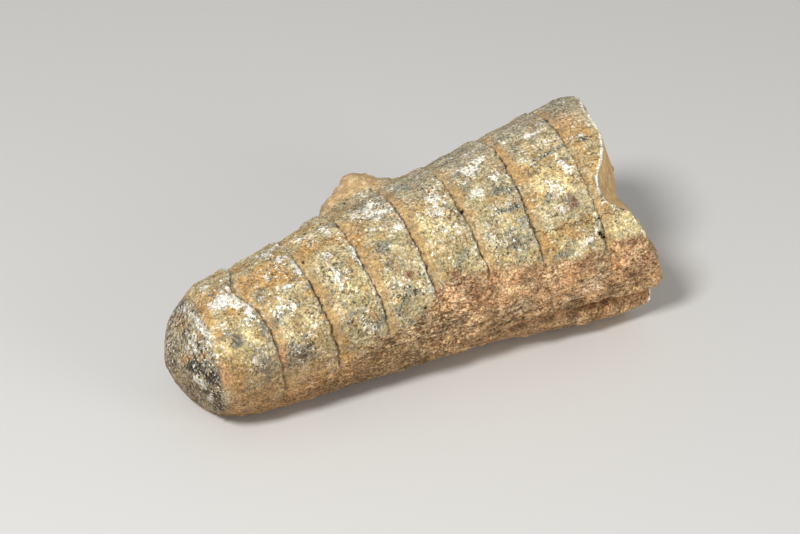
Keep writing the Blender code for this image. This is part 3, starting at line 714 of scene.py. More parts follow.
class Plan:
    """Adds nodes to a tree and wires them as it goes. Sizes of noise are in millimetres."""

    def __init__(self, tree):
        self.tree = tree
        self.count = 0
        self.place = None

    def add(self, kind, inputs=None, **settings):
        node = self.tree.nodes.new(kind)
        row, column = divmod(self.count, NODES_IN_A_ROW)
        node.location = (NODE_STEP[0] * column, NODE_STEP[1] * row)
        self.count += 1
        for name, value in settings.items():
            setattr(node, name, value)
        for name, value in (inputs or {}).items():
            self.feed(node.inputs[name], value)
        return node

    def feed(self, socket, value):
        if given_by_socket(value):
            self.tree.links.new(value, socket)
        elif socket.type == "RGBA":
            socket.default_value = (*value, 1.0)
        else:
            socket.default_value = value

    def math(self, operation, *values):
        return self.add("ShaderNodeMath", dict(enumerate(values)), operation=operation).outputs[0]

    def times(self, first, *others):
        for other in others:
            first = self.math("MULTIPLY", first, other)
        return first

    def plus(self, first, *others):
        for other in others:
            first = self.math("ADD", first, other)
        return first

    def minus(self, first, second):
        return self.math("SUBTRACT", first, second)

    def most(self, first, second):
        return self.math("MAXIMUM", first, second)

    def apart(self, value):
        return self.math("ABSOLUTE", value)

    def line(self, value, slope, start):
        return self.math("MULTIPLY_ADD", value, slope, start)

    def ramp(self, value, low, high, to_low=0.0, to_high=1.0):
        """A smooth step from to_low to to_high as value goes from low to high."""
        inputs = {0: value, 1: low, 2: high, 3: to_low, 4: to_high}
        node = self.add("ShaderNodeMapRange", inputs, interpolation_type="SMOOTHSTEP")
        return node.outputs[0]

    def shift(self, offset):
        inputs = {0: self.place, 1: offset}
        return self.add("ShaderNodeVectorMath", inputs, operation="ADD").outputs[0]

    def drawn(self, share):
        """The place shrunk lengthwise, so that what follows it is drawn out along the stone."""
        inputs = {0: self.place, 1: (share, 1.0, 1.0)}
        return self.add("ShaderNodeVectorMath", inputs, operation="MULTIPLY").outputs[0]

    def noise(self, size, detail=2.0, roughness=0.5, distortion=0.0, place=None):
        """Cloudy noise from 0 to 1 whose features are about that size."""
        scale = self.math("DIVIDE", 1.0 / MM, size) if given_by_socket(size) else 1.0 / (size * MM)
        inputs = {
            "Vector": place or self.place, "Scale": scale, "Detail": detail,
            "Roughness": roughness, "Distortion": distortion,
        }
        return self.add("ShaderNodeTexNoise", inputs, noise_dimensions="3D").outputs[0]

    def swing(self, *noise, **settings):
        """The same noise, but swinging about 0."""
        return self.minus(self.noise(*noise, **settings), 0.5)

    def cells(self, size, place):
        """Distance from the middle of the nearest cell, and a number of its own for each cell."""
        inputs = {"Vector": place, "Scale": 1.0 / (size * MM)}
        node = self.add("ShaderNodeTexVoronoi", inputs, feature="F1")
        own = self.add("ShaderNodeSeparateXYZ", {0: node.outputs["Color"]}).outputs[0]
        return node.outputs["Distance"], own

    def mix(self, factor, first, second, blend="MIX"):
        inputs = {0: factor, 6: first, 7: second}
        return self.add("ShaderNodeMix", inputs, data_type="RGBA", blend_type=blend).outputs[2]


# --- Weathering of the surface ----------------------------------------------------------------

WEATHER_SIZES = (
    "Undulation", "Lumps", "Crust lumps", "Fibres", "Grain", "Pit depth", "Suture depth",
)
SEED_STEP = 0.1             # how far apart in the noise two seeds lie, in metres
WORN_FOOT = 3.6             # the weathering fades out below this height, towards the flat
COVER_EDGE = (-0.3, 0.35)   # reach into the crust over which it thickens
RAISED_CRUST = 0.08
RAISED_BRIM = 0.14          # the crust is thickest along its edge
CREVICE_DEPTH = 0.30
CRACK_DEPTH = 0.30
SEAM_MIDDLE = 0.06          # the middle of a suture's groove, past the seam
SEAM_HALF_WIDTH = 0.24
BROW_HEIGHT = 0.13          # the shell's frayed edge before a suture
BAND_DEPTH = 0.18           # the sunken band past it
KNOB_LUMPS = 0.9
KNOB_COAT = 0.10
FRACTURE_HEIGHTS = (5.0, 2.4, 0.7)  # large facets, small facets and grit
FRACTURE_MIDDLE = 0.5


class Weathering(Plan):
    """Nodes for how far the weathered surface lies from the plain stone."""

    def __init__(self, tree):
        super().__init__(tree)
        self.given = self.add("NodeGroupInput").outputs
        self.place = self.add("GeometryNodeInputPosition").outputs[0]
        above = self.add("ShaderNodeSeparateXYZ", {0: self.place}).outputs[2]
        self.lying = self.ramp(above, 0.0, WORN_FOOT * MM)
        seeded = self.times(self.given["Seed"], SEED_STEP)
        self.place = self.shift(self.add("ShaderNodeCombineXYZ", {0: seeded}).outputs[0])
        self.lump = self.noise(1.4, 3.0, 0.55, 0.2)
        self.grit = self.noise(0.55, 2.0, 0.6)
        self.fibre = self.noise(0.9, 3.0, 0.6, 0.5, self.drawn(0.45))
        fray = self.swing(2.6, 5.0, 0.62)
        self.reach = self.plus(self.field("crust"), self.times(fray, 6.0))
        self.cover = self.ramp(self.reach, *COVER_EDGE)
        self.heavy = self.times(
            self.cover, self.ramp(self.field("run"), 8.0, 36.0, 0.45, 1.0),
            self.ramp(self.field("rim_gap"), 0.0, 4.0, 0.15, 1.0))
        matrix = self.field("matrix")
        coat = self.ramp(self.plus(matrix, self.times(fray, 1.3)), 0.14, 0.36)
        self.coat = self.times(coat, self.ramp(matrix, 0.03, 0.14))
        smooth = self.times(self.most(self.coat, self.field("chip")), 0.8)
        smooth = self.most(smooth, self.times(self.field("dome"), 0.5))
        self.rough = self.times(
            self.line(smooth, -0.7, 1.0), self.line(self.field("broken"), -0.55, 1.0))

    def field(self, name):
        node = self.add("GeometryNodeInputNamedAttribute", {"Name": name}, data_type="FLOAT")
        return node.outputs[0]

    def swell(self, noise, size, *masks):
        """Noise as a height that goes about as far up as down."""
        return self.times(self.minus(noise, 0.5), self.times(self.given[size], 2.0), *masks)

    def unevenness(self):
        """Broad swells, lumps, fibres and grain, and the thickness of the crust."""
        knobbly = self.noise(3.2, 2.0, 0.5, 0.3)
        brim = self.times(self.cover, self.ramp(self.reach, 2.4, 0.6))
        return self.plus(
            self.swell(self.noise(7.5), "Undulation"),
            self.swell(self.lump, "Lumps", self.minus(1.0, self.cover), self.rough),
            self.swell(self.lump, "Crust lumps", self.heavy, self.rough, 0.55),
            self.swell(knobbly, "Crust lumps", self.heavy, self.rough, 1.35),
            self.swell(self.fibre, "Fibres", self.cover, self.rough),
            self.swell(self.grit, "Grain", self.rough),
            self.times(self.cover, RAISED_CRUST * MM), self.times(brim, RAISED_BRIM * MM))

    def pits(self):
        """Scattered pits, large and small, from 0 to 1."""
        away, own = self.cells(1.2, self.place)
        large = self.times(self.ramp(away, 0.42, 0.15), self.ramp(own, 0.62, 0.66), self.rough)
        away, own = self.cells(0.7, self.shift((0.3, 0.1, 0.2)))
        small = self.times(self.ramp(away, 0.45, 0.2), self.ramp(own, 0.6, 0.64), self.rough)
        pitted = self.most(large, self.times(small, 0.6))
        return self.times(pitted, self.line(self.cover, 0.6, 0.4))

    def crevices(self):
        """Thin crooked crevices through the crust, most of them lengthwise, from 0 to 1."""
        rift = self.swing(2.1, 4.0, 0.6, 0.8, self.drawn(0.42))
        crevice = self.ramp(self.apart(rift), 0.05, 0.0)
        here_and_there = self.ramp(self.noise(5.0), 0.42, 0.56)
        return self.times(crevice, self.heavy, self.rough, here_and_there)

    def fracture(self):
        """The broken end: a few curved fracture facets, and coarse grit on them."""
        snapped = self.ramp(self.minus(self.field("broken"), self.field("chip")), 0.2, 0.9)
        snapped = self.times(snapped, self.ramp(self.field("rim_gap"), 0.3, 2.6, 0.2, 1.0))
        shapes = (
            self.apart(self.swing(6.0, 1.0, 0.5, 0.6)), self.apart(self.swing(2.6, 1.0, 0.5, 0.4)),
            self.swing(1.8, 3.0, 0.5),
        )
        torn = self.plus(*(self.times(shape, height * MM)
                           for shape, height in zip(shapes, FRACTURE_HEIGHTS)))
        return self.times(snapped, self.minus(torn, FRACTURE_MIDDLE * MM))

    def sutures(self):
        """Where the wandering seams run, how much they show, and their height."""
        seam = self.plus(self.field("seam"), self.times(self.swing(2.2, 5.0, 0.68), 1.5))
        away = self.times(self.minus(seam, SEAM_MIDDLE), 1.0 / SEAM_HALF_WIDTH)
        groove = self.math("EXPONENT", self.times(away, away, -1.0))
        shown = self.times(
            self.line(self.cover, -0.8, 1.0), self.ramp(self.field("matrix"), 0.28, 0.10),
            self.line(self.field("open_seam"), 0.85, 0.15),
            self.ramp(self.noise(3.4, 3.0), 0.3, 0.62, 0.7, 1.15))
        brow = self.times(self.ramp(seam, -1.6, -0.35), self.ramp(seam, -0.02, -0.3), shown)
        band = self.times(self.ramp(seam, 0.1, 0.3), self.ramp(seam, 2.2, 1.0), shown)
        height = self.times(groove, shown, self.given["Suture depth"], -1.0)
        height = self.plus(height, self.times(brow, BROW_HEIGHT * MM),
                           self.times(band, -BAND_DEPTH * MM))
        return seam, shown, height

    def knob(self):
        """The knob of matrix is lumpy, and its coat stands out a little."""
        lumpy = self.times(self.ramp(self.field("matrix"), 0.1, 0.5), self.minus(self.lump, 0.5))
        return self.plus(self.times(lumpy, KNOB_LUMPS * MM), self.times(self.coat, KNOB_COAT * MM))

    def crack(self):
        split = self.ramp(self.apart(self.field("crack_gap")), 0.30, 0.0)
        return self.times(split, self.field("cracked"), -CRACK_DEPTH * MM)

    def move(self, geometry, height):
        """Push the surface out along its normals, but never below the floor."""
        push = self.add("ShaderNodeVectorMath",
                        {0: self.add("GeometryNodeInputNormal").outputs[0]}, operation="SCALE")
        self.feed(push.inputs["Scale"], height)
        moved = self.add("GeometryNodeSetPosition",
                         {"Geometry": geometry, "Offset": push.outputs[0]}).outputs[0]
        spot = self.add("ShaderNodeSeparateXYZ",
                        {0: self.add("GeometryNodeInputPosition").outputs[0]}).outputs
        lifted = {0: spot[0], 1: spot[1], 2: self.most(spot[2], 0.0)}
        lifted = self.add("ShaderNodeCombineXYZ", lifted).outputs[0]
        return self.add("GeometryNodeSetPosition",
                        {"Geometry": moved, "Position": lifted}).outputs[0]


def weathering_tree(material):
    """Geometry Nodes that weather the stone and store what its colours follow."""
    tree = bpy.data.node_groups.new("Weathered stone", "GeometryNodeTree")
    tree.interface.new_socket("Geometry", in_out="INPUT", socket_type="NodeSocketGeometry")
    for name in WEATHER_SIZES:
        socket = tree.interface.new_socket(name, in_out="INPUT", socket_type="NodeSocketFloat")
        socket.subtype = "DISTANCE"
    tree.interface.new_socket("Seed", in_out="INPUT", socket_type="NodeSocketFloat")
    tree.interface.new_socket("Geometry", in_out="OUTPUT", socket_type="NodeSocketGeometry")
    plan = Weathering(tree)
    pitted, crevice, hole = plan.pits(), plan.crevices(), plan.field("hole")
    seam, shown, seam_height = plan.sutures()
    height = plan.plus(
        plan.unevenness(), plan.times(pitted, plan.given["Pit depth"], -1.0),
        plan.times(crevice, -CREVICE_DEPTH * MM), plan.fracture(), plan.knob(), seam_height,
        plan.times(hole, -MM), plan.crack())
    kept = {
        "cover": plan.cover,
        "coat": plan.coat,
        "relief": plan.plus(plan.minus(plan.lump, 0.5), plan.minus(plan.grit, 0.5)),
        "fibre": plan.fibre,
        "pitted": plan.most(pitted, plan.ramp(hole, 0.05, 0.4)),
        "crevice": crevice,
        "seam_line": seam,
        "shown": shown,
    }
    geometry = plan.given["Geometry"]
    for name, value in kept.items():
        node = plan.add("GeometryNodeStoreNamedAttribute", {"Geometry": geometry, "Name": name},
                        data_type="FLOAT", domain="POINT")
        plan.feed(node.inputs["Value"], value)
        geometry = node.outputs[0]
    geometry = plan.move(geometry, plan.times(height, plan.lying))
    for kind in ("GeometryNodeRealizeInstances", "GeometryNodeSetShadeSmooth",
                 "GeometryNodeSetMaterial"):
        node = plan.add(kind, {"Geometry": geometry})
        geometry = node.outputs[0]
    node.inputs["Material"].default_value = material
    plan.add("NodeGroupOutput", {0: geometry})
    return tree


def weathered(stone, tree, values):
    """Run the tree on the stone with these inputs, and keep its result as a plain mesh."""
    modifier = stone.modifiers.new("Weathering", "NODES")
    modifier.node_group = tree
    for item in tree.interface.items_tree:
        if item.in_out == "INPUT" and item.name in values:
            modifier[item.identifier] = values[item.name]
    graph = bpy.context.evaluated_depsgraph_get()
    result = bpy.data.meshes.new_from_object(
        stone.evaluated_get(graph), preserve_all_data_layers=True, depsgraph=graph)
    stone.modifiers.remove(modifier)
    stone.data = result


# --- Finish of the stone ----------------------------------------------------------------------

# Noise lies mostly between 0.3 and 0.7, so the cover of flakes is spread over that.
BARE_LEVEL = 0.72
FULL_LEVEL = 0.28
BUMP_HEIGHT = 0.36


def speckle_group():
    """Flakes scattered through a stone: a mask that follows how much of it they should cover."""
    tree = bpy.data.node_groups.new("Speckle", "ShaderNodeTree")
    tree.interface.new_socket("Vector", in_out="INPUT", socket_type="NodeSocketVector")
    for name in ("Size", "Cover", "Softness", "Detail"):
        tree.interface.new_socket(name, in_out="INPUT", socket_type="NodeSocketFloat")
    tree.interface.new_socket("Mask", in_out="OUTPUT", socket_type="NodeSocketFloat")
    plan = Plan(tree)
    given = plan.add("NodeGroupInput").outputs
    plan.place = given["Vector"]
    noise = plan.noise(given["Size"], given["Detail"], 0.6, 0.3)
    level = plan.line(given["Cover"], FULL_LEVEL - BARE_LEVEL, BARE_LEVEL)
    softness = given["Softness"]
    mask = plan.ramp(noise, plan.minus(level, softness), plan.plus(level, softness))
    plan.add("NodeGroupOutput", {0: mask})
    return tree


class StoneFinish(Plan):
    """Nodes for the colours of the stone, which follow the fields that its mesh carries."""

    def __init__(self, tree, colors):
        super().__init__(tree)
        self.colors = colors
        self.speckle = speckle_group()
        self.place = self.add("ShaderNodeTexCoord").outputs["Object"]
        self.clouds = self.noise(3.2, 6.0, 0.64, 0.3)
        # Thin lines wander at a finer scale than the mesh can hold
        self.waver = self.swing(0.8, 4.0, 0.65)
        self.seam = self.line(self.waver, 0.9, self.field("seam_line"))
        self.cover = self.field("cover")
        self.bare = self.minus(1.0, self.cover)
        self.shown = self.field("shown")
        band = self.times(self.ramp(self.seam, 0.05, 0.2), self.ramp(self.seam, 2.0, 0.8))
        band = self.times(band, self.bare, self.shown)
        self.band = self.times(band, self.ramp(self.noise(2.4, 3.0), 0.28, 0.46))
        self.chip = self.ramp(
            self.line(self.swing(1.6, 4.0, 0.62), 1.6, self.field("chip")), 0.35, 0.65)
        self.smooth = self.most(self.field("coat"), self.chip)
        self.gritty = self.times(
            self.line(self.smooth, -0.7, 1.0), self.line(self.field("broken"), -0.55, 1.0))
        self.streaks = self.noise(0.38, 2.0, 0.65, place=self.drawn(0.5))

    def field(self, name):
        return self.add("ShaderNodeAttribute", attribute_name=name).outputs["Fac"]

    def led(self, name, gain, base):
        """A value that follows a field."""
        return self.line(self.field(name), gain, base)

    def flakes(self, size, cover, softness, offset, detail):
        inputs = {
            "Vector": self.shift((offset, offset * 0.7, -offset * 0.4)), "Size": size,
            "Cover": cover, "Softness": softness, "Detail": detail,
        }
        return self.add("ShaderNodeGroup", inputs, node_tree=self.speckle).outputs[0]

    def patched(self, tone, *patches):
        """The tone under patches: (colour, strength, size, cover, softness, offset, detail)."""
        for color, strength, *flake in patches:
            tone = self.mix(self.times(self.flakes(*flake), strength), tone, color)
        return tone

    def bare_chambers(self):
        """Straw and tan clouds, with cream, ochre, khaki and blue-grey patches and flecks."""
        colors, band = self.colors, self.band
        moss = self.line(self.field("moss"), 0.5, self.led("flank", 0.1, 0.1))
        tone = self.mix(self.ramp(self.clouds, 0.36, 0.62), colors.tan, colors.straw)
        tone = self.patched(
            tone,
            (colors.cream, 0.85, 1.5, self.led("cream", 0.62, 0.12), 0.12, 0.21, 4.0),
            (colors.ochre, 0.8, 2.2, self.led("ochre", 0.6, 0.20), 0.13, 0.47, 5.0),
            (colors.moss, 0.75, 2.6, moss, 0.14, 0.71, 5.0),
            (colors.slate, 0.75, 1.6, self.led("slate", 0.5, 0.22), 0.11, 0.33, 5.0))
        # Painted sheen: the far side of the crown greyer, as the sky would show on it at grazing
        # angles
        tone = self.mix(self.times(self.field("far_crown"), 0.5), tone, Shade.crown_sheen)
        # The smooth ochre band just past each suture, which few flecks cross
        tone = self.mix(self.times(band, 0.75), tone, Shade.band)
        loose = self.line(band, -0.8, 1.0)

        # Dark specks and white flecks, in drifts
        drift = self.ramp(self.noise(2.6, 3.0), 0.45, 0.65)
        busy = self.ramp(self.noise(4.6), 0.38, 0.60, 0.45, 1.0)
        chalk = self.field("chalk")
        dark = self.line(self.field("slate"), 0.30, self.line(drift, -0.1, 0.18))
        dark = self.times(self.line(chalk, 0.12, dark), loose)
        specks = self.times(self.flakes(0.46, dark, 0.035, 0.83, 2.0), busy, 0.9)
        tone = self.mix(specks, tone, colors.coal)
        base = self.line(drift, 0.2, 0.02)
        white = self.times(self.line(chalk, 0.50, base), loose)
        chips = self.times(self.flakes(1.1, white, 0.05, 0.11, 3.0), 0.95,
                           self.flakes(0.34, 0.62, 0.06, 0.19, 1.0))
        tone = self.mix(chips, tone, colors.chalk)
        white = self.times(self.line(chalk, 0.30, self.plus(base, 0.12)), loose)
        flecks = self.times(self.flakes(0.40, white, 0.04, 0.61, 2.0), self.most(busy, chalk))
        tone = self.mix(flecks, tone, colors.chalk)

        # The frosted edge of the shell just before each suture: grey and white flecks
        edge = self.times(self.ramp(self.seam, -1.3, -0.25), self.ramp(self.seam, 0.05, -0.05),
                          self.bare, self.shown)
        return self.patched(
            tone,
            (colors.slate, self.times(edge, 0.7), 0.9, 0.42, 0.10, 0.52, 5.0),
            (colors.chalk, self.times(edge, 0.85), 0.5, self.led("chalk", 0.4, 0.26), 0.04, 0.66,
             2.0))

    def dome(self):
        """The dome is greyer and grittier, almost black in places."""
        tone = self.mix(self.ramp(self.clouds, 0.38, 0.6), Shade.dome_dark, Shade.dome_light)
        earth_and_shade = self.led("ochre", 0.7, 0.20)
        soot = self.led("slate", 0.36, 0.14)
        black = self.led("slate", 0.22, 0.33)
        return self.patched(
            tone,
            (Shade.earth_and_shade, 0.7, 1.3, earth_and_shade, 0.08, 0.3, 5.0),
            (Shade.soot, 0.85, 1.2, soot, 0.06, 0.9, 4.0),
            (Shade.black, 0.95, 0.62, black, 0.03, 0.7, 2.0),
            (self.colors.chalk, 1.0, 0.8, self.led("chalk", 0.50, 0.04), 0.03, 0.4, 3.0),
            (Shade.frost, 1.0, 0.42, self.led("chalk", 0.34, 0.26), 0.03, 0.5, 2.0))

    def crust(self):
        """Crust, browner at the small end, with grey, reddish, pale and buff patches, painted shade
        in its hollows, and folds painted with shadow and highlight.
        """
        colors, run, fibre = self.colors, self.field("run"), self.field("fibre")
        # Darker where the fibres lie low: painted shade in their hollows
        tone = self.mix(self.ramp(fibre, 0.32, 0.58), colors.crust_hollow_shade, colors.crust)
        brown = self.mix(self.ramp(fibre, 0.36, 0.6), Shade.brown_hollow_shade, Shade.brown)
        tone = self.mix(self.ramp(run, 16.0, 36.0), brown, tone)
        ash = self.flakes(3.0, self.led("slate", 0.5, 0.24), 0.09, 0.29, 5.0)
        tone = self.mix(self.times(ash, 0.75), tone, Shade.ash)
        tone = self.patched(
            tone,
            (colors.blush, 0.75, 1.6, self.led("blush", 0.7, 0.24), 0.14, 0.77, 4.0),
            (Shade.red_crust, 0.6, 2.4, 0.28, 0.10, 0.57, 5.0),
            (Shade.buff, 0.7, 2.0, self.led("cream", 0.6, 0.16), 0.10, 0.07, 5.0))
        # Light and dark fibres, and grains of salt
        gritted = self.plus(self.ramp(self.noise(4.2), 0.40, 0.60, 0.25, 0.65),
                            self.times(ash, 0.3), self.ramp(run, 38.0, 26.0, 0.0, 0.6))
        light = self.times(self.ramp(self.streaks, 0.54, 0.60), gritted)
        tone = self.mix(light, tone, colors.crust_pale)
        shade = self.times(self.ramp(self.streaks, 0.46, 0.40), gritted)
        tone = self.mix(shade, tone, Shade.fibre)
        salt = self.line(self.field("chalk"), 0.35, self.times(ash, 0.10))
        tone = self.patched(tone, (Shade.salt, 0.85, 0.40, salt, 0.04, 0.23, 2.0))
        # Folds with no relief of their own: painted shadow in thin creases and a painted highlight
        # on the ridge beside them, mostly lengthwise
        fold = self.swing(1.9, 4.0, 0.55, 0.9, self.drawn(0.38))
        creased = self.ramp(self.noise(4.4), 0.42, 0.56)
        ridge_highlight = self.times(self.ramp(fold, 0.012, 0.030), self.ramp(fold, 0.080, 0.040), creased)
        tone = self.mix(self.times(ridge_highlight, 0.45), tone, Shade.ridge_highlight)
        crease_shadow = self.times(self.ramp(self.apart(fold), 0.020, 0.004), creased)
        return self.mix(self.times(crease_shadow, 0.7), tone, Shade.crease_shadow)

    def underneath(self, tone):
        """Red dirt in the groove, painted shade towards the underside and low on the flank towards
        the small end, and painted shade in the crevices.
        """
        run, fibre, under = self.field("run"), self.field("fibre"), self.field("under")
        groove = self.times(self.field("overhang"), self.cover, 0.7)
        tone = self.mix(groove, tone, Shade.groove)
        # Painted shade towards the underside
        deep = self.times(under, self.ramp(run, 26.0, 40.0, 0.4, 0.25))
        tone = self.mix(deep, tone, Shade.deep)
        # Painted shade low on the flank towards the small end, darker still in the fibres' hollows
        earth_and_shade = self.mix(self.ramp(fibre, 0.38, 0.6), Shade.low_shade_dark, Shade.low)
        small_end = self.times(self.ramp(run, 26.0, 9.0), self.ramp(run, -4.0, -2.6))
        tone = self.mix(self.times(small_end, under, 0.75), tone, earth_and_shade)
        # Painted shade in the crevices
        return self.mix(self.times(self.field("crevice"), 0.6), tone, Shade.crevice)

    def inside(self):
        """The broken end: brown sediment with grey, cream and reddish patches."""
        tone = self.mix(self.ramp(self.clouds, 0.44, 0.54), Shade.mud_dark, Shade.mud)
        return self.patched(
            tone,
            (Shade.mud_gray, 0.6, 3.6, 0.34, 0.03, 0.27, 6.0),
            (Shade.mud_cream, 0.7, 4.2, 0.30, 0.02, 0.57, 6.0),
            (Shade.mud_red, 0.5, 2.4, 0.22, 0.03, 0.13, 6.0),
            (Shade.mud_speck, 0.5, 0.6, 0.12, 0.05, 0.51, 2.0),
            (self.colors.chalk, 0.7, 0.9, 0.10, 0.04, 0.87, 2.0))

    def matrix(self):
        """Smooth matrix of the knob and the chip, with khaki patches, flakes and specks."""
        tone = self.patched(
            self.colors.matrix,
            (self.colors.tan, 0.6, 1.6, 0.34, 0.15, 0.37, 5.0),
            (Shade.khaki, 0.6, 1.1, 0.20, 0.08, 0.97, 5.0),
            (Shade.flake, 0.7, 0.5, 0.22, 0.05, 0.49, 2.0),
            (Shade.speck, 0.6, 0.5, 0.20, 0.04, 0.39, 2.0))
        # The chip: the matrix's tan with painted light, as it lies in shade
        return self.mix(self.times(self.chip, 0.9), tone, Shade.chip)

    def stained_and_shaded(self, tone):
        """Rust spots, the white broken edge, dirt in the sutures and the crack, and painted shade
        in the pits and holes.
        """
        colors, cover = self.colors, self.cover
        rusty = self.times(self.field("rust"), self.ramp(self.noise(0.8, 3.0), 0.3, 0.55), 0.8)
        tone = self.mix(rusty, tone, colors.rust)
        edge = self.ramp(self.line(self.waver, 0.8, self.field("rim_gap")), 0.42, 0.12)
        white = self.led("rim_white", 0.7, 0.1)
        tone = self.patched(
            tone, (colors.chalk, self.times(edge, 0.9), 0.7, white, 0.10, 0.91, 4.0))
        # Painted shade in the pits, weaker on the crust
        pit_shade = self.times(self.ramp(self.field("pitted"), 0.15, 0.8), self.line(cover, -0.25, 0.6))
        tone = self.mix(pit_shade, tone, colors.seam)
        away = self.apart(self.minus(self.seam, SEAM_MIDDLE))
        dark = self.times(
            self.ramp(away, 0.24, 0.06), self.led("open_seam", 0.75, 0.1),
            self.ramp(self.noise(1.1, 4.0), 0.34, 0.5, 0.45, 1.0), self.minus(1.0, self.smooth),
            self.line(cover, -0.6, 1.0))
        tone = self.mix(dark, tone, colors.seam)
        away = self.apart(self.line(self.waver, 0.6, self.field("crack_gap")))
        split = self.times(self.ramp(away, 0.13, 0.04), self.field("cracked"), 0.85)
        tone = self.mix(split, tone, Shade.crack)
        # Painted shade in the holes, almost black
        return self.mix(self.ramp(self.field("hole"), 0.15, 0.45), tone, Shade.hole)

    def lit(self, tone):
        """Painted shade in dark pores, painted light on the high lumps and grains and painted shade
        in the low ones, random grain and blotches, and the lighter and darker regions of shading(),
        with its painted light and shade.
        """
        cover = self.cover
        low_crust = self.times(cover, self.ramp(self.field("run"), 38.0, 26.0))
        # Dark pores: painted shade of pits finer than the mesh
        pore_shading = self.times(
            self.ramp(self.noise(0.44, 2.0, 0.6), 0.44, 0.36),
            self.ramp(self.noise(3.6, 3.0), 0.36, 0.62, 0.35, 1.0), self.gritty,
            self.line(self.band, -0.5, 1.0), self.line(low_crust, 0.3, 1.0))
        tone = self.mix(self.times(pore_shading, 0.75), tone, Shade.pore_shade)
        sharp = self.plus(self.line(self.band, -0.7, 2.0), self.times(cover, 0.6))
        sharp = self.times(sharp, self.gritty)
        grain = self.line(self.swing(0.30, 1.0), sharp, 1.03)
        blotch = self.ramp(self.noise(5.0), 0.40, 0.60, -0.22, 0.14)
        blotch = self.plus(self.times(blotch, self.most(cover, 0.35)), 1.0)
        # Lighter on the high lumps and grains and darker in the low ones: painted light and shade.
        # The last factor is the painted light and shade of shading()
        value = self.times(
            self.ramp(self.field("relief"), -0.28, 0.30, 0.80, 1.16), grain,
            self.ramp(self.noise(0.9, 2.0, 0.6), 0.32, 0.68, 0.88, 1.16), blotch,
            self.field("pale"))
        gray = self.add("ShaderNodeCombineColor", {0: value, 1: value, 2: value}).outputs[0]
        return self.mix(1.0, tone, gray, "MULTIPLY")

    def bumps(self):
        grit = self.times(self.noise(0.40, 2.0, 0.6), self.gritty)
        grit = self.plus(grit, self.times(self.streaks, self.cover, 0.4))
        inputs = {"Strength": 1.0, "Distance": BUMP_HEIGHT * MM, "Height": grit}
        return self.add("ShaderNodeBump", inputs).outputs[0]


def stone_material(colors):
    material = bpy.data.materials.new(SLOT)
    material.use_nodes = True
    material.node_tree.nodes.clear()
    plan = StoneFinish(material.node_tree, colors)
    tone = plan.mix(plan.times(plan.field("dome"), 0.95), plan.bare_chambers(), plan.dome())
    stain = plan.times(plan.field("blush"), 0.7)
    rosy = plan.led("blush", 0.7, 0.24)
    tone = plan.patched(tone, (colors.blush, stain, 1.4, rosy, 0.16, 0.17, 5.0))
    tone = plan.mix(plan.times(plan.cover, 0.92), tone, plan.crust())
    tone = plan.mix(plan.field("broken"), plan.underneath(tone), plan.inside())
    tone = plan.mix(plan.times(plan.smooth, 0.92), tone, plan.matrix())
    shader = plan.add("ShaderNodeBsdfPrincipled", {
        "Base Color": plan.lit(plan.stained_and_shaded(tone)), "Normal": plan.bumps(),
        "Roughness": plan.ramp(plan.clouds, 0.3, 0.7, 0.95, 0.82), "Specular IOR Level": 0.3,
    })
    plan.add("ShaderNodeOutputMaterial", {"Surface": shader.outputs[0]})
    return material


# --- Studio -----------------------------------------------------------------------------------

FLOOR_CORNERS = ((-3.0, -3.0), (3.0, -3.0), (3.0, 3.0), (-3.0, 3.0))
FLOOR_ROUGHNESS = 0.6
LIGHT_TARGET = (0.0, 0.0, 0.01)
# Soft round lights: (name, place, size in metres, power in watts).
LIGHTS = (("key", (-0.33, -0.20, 0.42), 0.13, 2.45), ("side", (0.22, -0.52, 0.20), 0.30, 0.85))
SKY_COLOR = (1.0, 0.99, 0.97, 1.0)
SKY_STRENGTH = 0.31
CAMERA_PLACE = (-0.13934, -0.24057, 0.19257)
CAMERA_TARGET = (0.01099, 0.01919, -0.00045)
SENSOR_WIDTH = 36.0         # of the camera, in millimetres
NEAREST_SEEN = 0.01


def placed(context, name, data, place, target):
    """Put something in the scene, aimed at the target."""
    thing = bpy.data.objects.new(name, data)
    thing.location = place
    aim = Vector(target) - Vector(place)
    thing.rotation_euler = aim.to_track_quat("-Z", "Y").to_euler()
    context.collection.objects.link(thing)
    return thing


def build_floor(context, studio):
    mesh = bpy.data.meshes.new("floor")
    corners = [(x, y, 0.0) for x, y in FLOOR_CORNERS]
    mesh.from_pydata(corners, [], [(0, 1, 2, 3)])
    material = bpy.data.materials.new("pale_floor")
    material.use_nodes = True
    shader = material.node_tree.nodes["Principled BSDF"]
    shader.inputs["Base Color"].default_value = (*studio.floor_color, 1.0)
    shader.inputs["Roughness"].default_value = FLOOR_ROUGHNESS
    mesh.materials.append(material)
    floor = bpy.data.objects.new("floor", mesh)
    context.collection.objects.link(floor)


def build_lights(context, studio):
    for name, place, size, power in LIGHTS:
        light = bpy.data.lights.new(name, "AREA")
        light.shape = "DISK"
        light.size = size
        light.energy = power * studio.key_power
        placed(context, name, light, place, LIGHT_TARGET)
    world = bpy.data.worlds.new("studio")
    world.use_nodes = True
    sky = world.node_tree.nodes["Background"]
    sky.inputs["Color"].default_value = SKY_COLOR
    sky.inputs["Strength"].default_value = SKY_STRENGTH * studio.fill_power
    context.scene.world = world
    context.scene.view_settings.view_transform = "Standard"


def build_camera(context, studio):
    lens = bpy.data.cameras.new("camera")
    lens.lens = studio.lens
    lens.sensor_width = SENSOR_WIDTH
    lens.clip_start = NEAREST_SEEN
    context.scene.camera = placed(context, "camera", lens, CAMERA_PLACE, CAMERA_TARGET)


# --- Operators and panel ----------------------------------------------------------------------


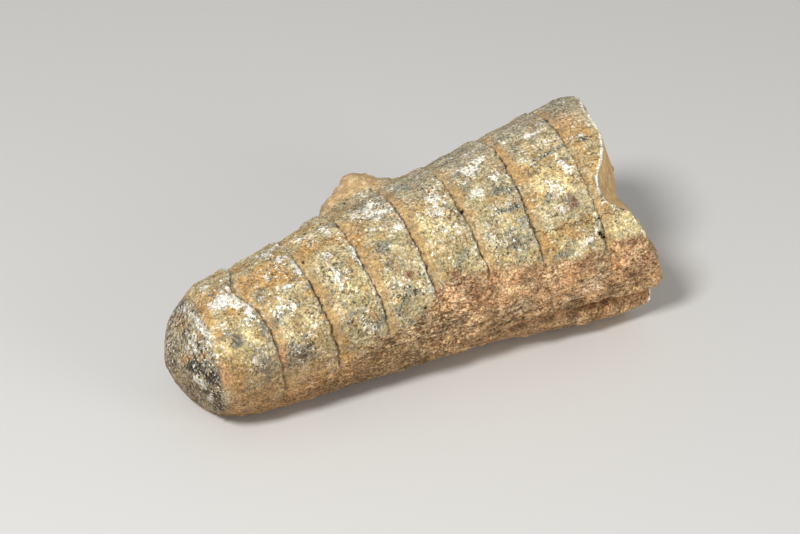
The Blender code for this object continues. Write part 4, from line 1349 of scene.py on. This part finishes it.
class FOSSIL_OT_core(bpy.types.Operator):
    """Build the weathered stone"""
    bl_idname = "fossil.core"
    bl_label = "Orthoceras stone"

    def execute(self, context):
        scene = context.scene
        wear = scene.fossil_wear
        material = stone_material(scene.fossil_colors)
        stone = bpy.data.objects.new("orthoceras_stone", core_mesh(scene.fossil_form))
        context.collection.objects.link(stone)
        values = {
            "Undulation": wear.undulation, "Lumps": wear.lumps, "Crust lumps": wear.crust_lumps,
            "Fibres": wear.fibres, "Grain": wear.grain, "Pit depth": wear.pit_depth,
            "Suture depth": scene.fossil_form.suture_depth, "Seed": float(wear.seed),
        }
        weathered(stone, weathering_tree(material), values)
        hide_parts(NODE)
        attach(stone, "root")
        return {"FINISHED"}


class FOSSIL_OT_studio(bpy.types.Operator):
    """Lay the pale floor, hang the soft lights and place the camera"""
    bl_idname = "fossil.studio"
    bl_label = "Studio"

    def execute(self, context):
        for build in (build_floor, build_lights, build_camera):
            build(context, context.scene.fossil_studio)
        return {"FINISHED"}


class FOSSIL_PT_panel(bpy.types.Panel):
    """Sizes and colours of the fossil, and the buttons that build it"""
    bl_idname = "FOSSIL_PT_panel"
    bl_label = "Orthoceras fossil"
    bl_space_type = "VIEW_3D"
    bl_region_type = "UI"
    bl_category = "Fossil"

    def draw(self, context):
        for name in GROUPS:
            group = getattr(context.scene, name)
            box = self.layout.box()
            for key in group.__annotations__:
                box.prop(group, key)
        for operator in OPERATORS:
            self.layout.operator(operator.bl_idname)


GROUPS = {
    "fossil_form": CoreForm, "fossil_wear": SurfaceWear, "fossil_colors": StoneColors,
    "fossil_studio": Studio,
}
OPERATORS = (FOSSIL_OT_core, FOSSIL_OT_studio)


def register():
    for name, group in GROUPS.items():
        bpy.utils.register_class(group)
        setattr(bpy.types.Scene, name, PointerProperty(type=group))
    for operator in OPERATORS:
        bpy.utils.register_class(operator)
    bpy.utils.register_class(FOSSIL_PT_panel)


def unregister():
    bpy.utils.unregister_class(FOSSIL_PT_panel)
    for operator in reversed(OPERATORS):
        bpy.utils.unregister_class(operator)
    for name, group in reversed(GROUPS.items()):
        delattr(bpy.types.Scene, name)
        bpy.utils.unregister_class(group)


def main():
    register()
    bpy.ops.fossil.core()
    bpy.ops.fossil.studio()


if __name__ == "__main__":
    main()
